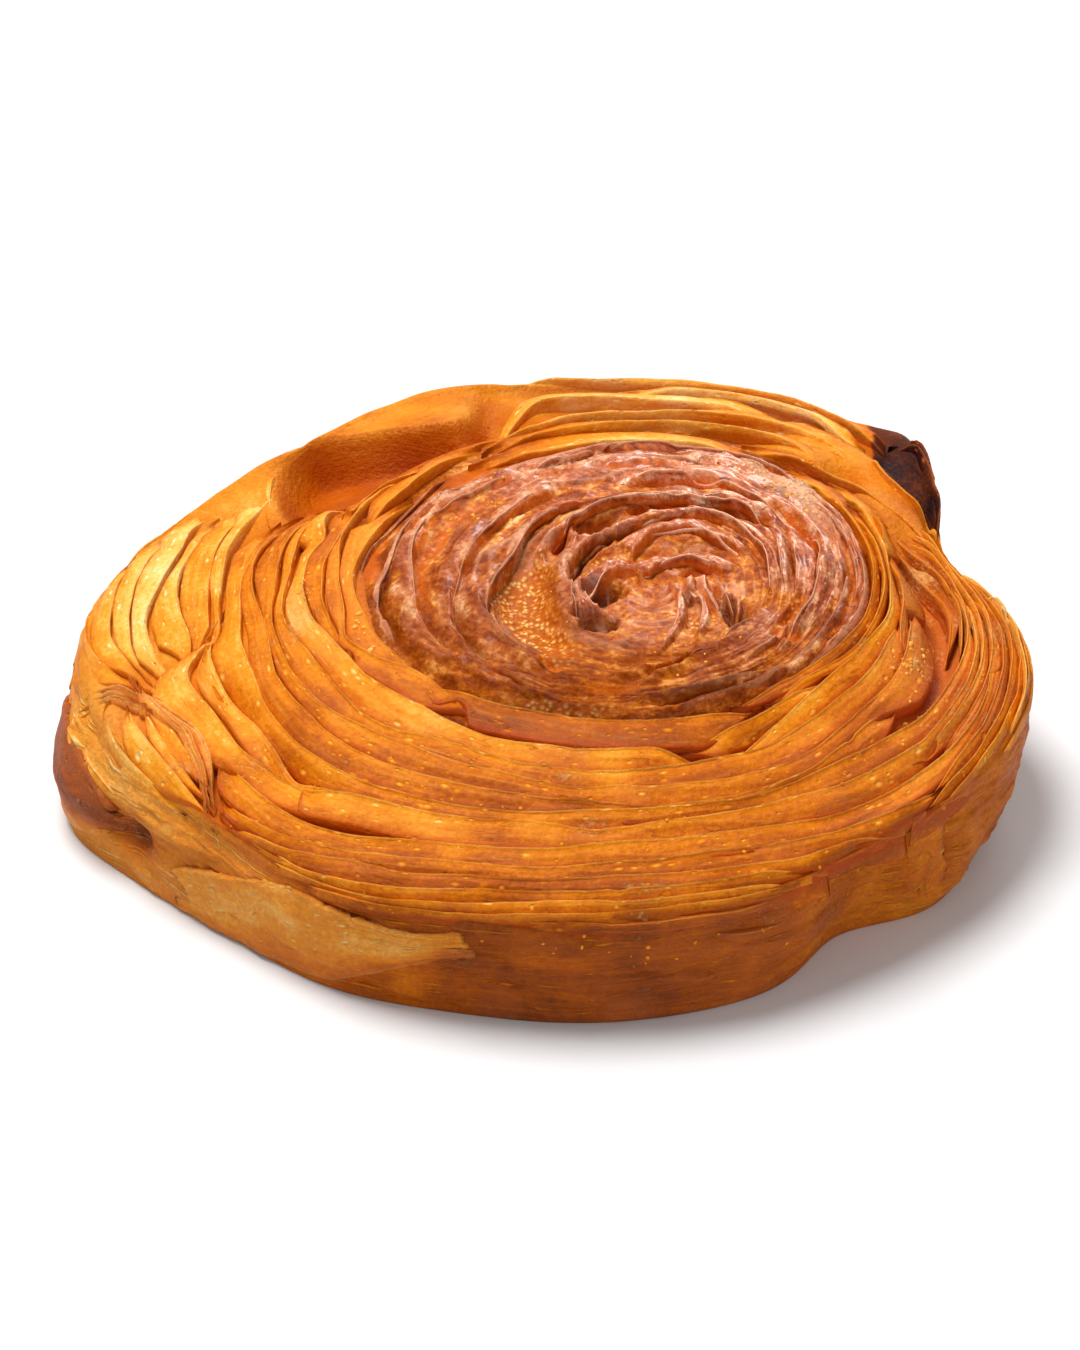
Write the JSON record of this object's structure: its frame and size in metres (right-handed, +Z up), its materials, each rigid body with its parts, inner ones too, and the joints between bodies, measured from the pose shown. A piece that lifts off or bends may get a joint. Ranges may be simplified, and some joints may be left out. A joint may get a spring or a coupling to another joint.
{
  "type": "kouign amann",
  "caption": "Round coiled laminated pastry, caramelised, with layers fanning out from a domed whorl and a flat base to rest on.",
  "frame": {"origin": "on the floor, at the middle of the pastry's bounding box", "axes": "+Z up; +X to the right and +Y away from the viewer of the picture"},
  "size_m": [0.1194, 0.1105, 0.0269],
  "materials": {
    "baked_crust": "golden baked laminated crust with a thin caramel glaze, darker on the dome and the side"
  },
  "bodies": {
    "root": {"kouign_amann": "baked_crust"}
  },
  "joints": []
}
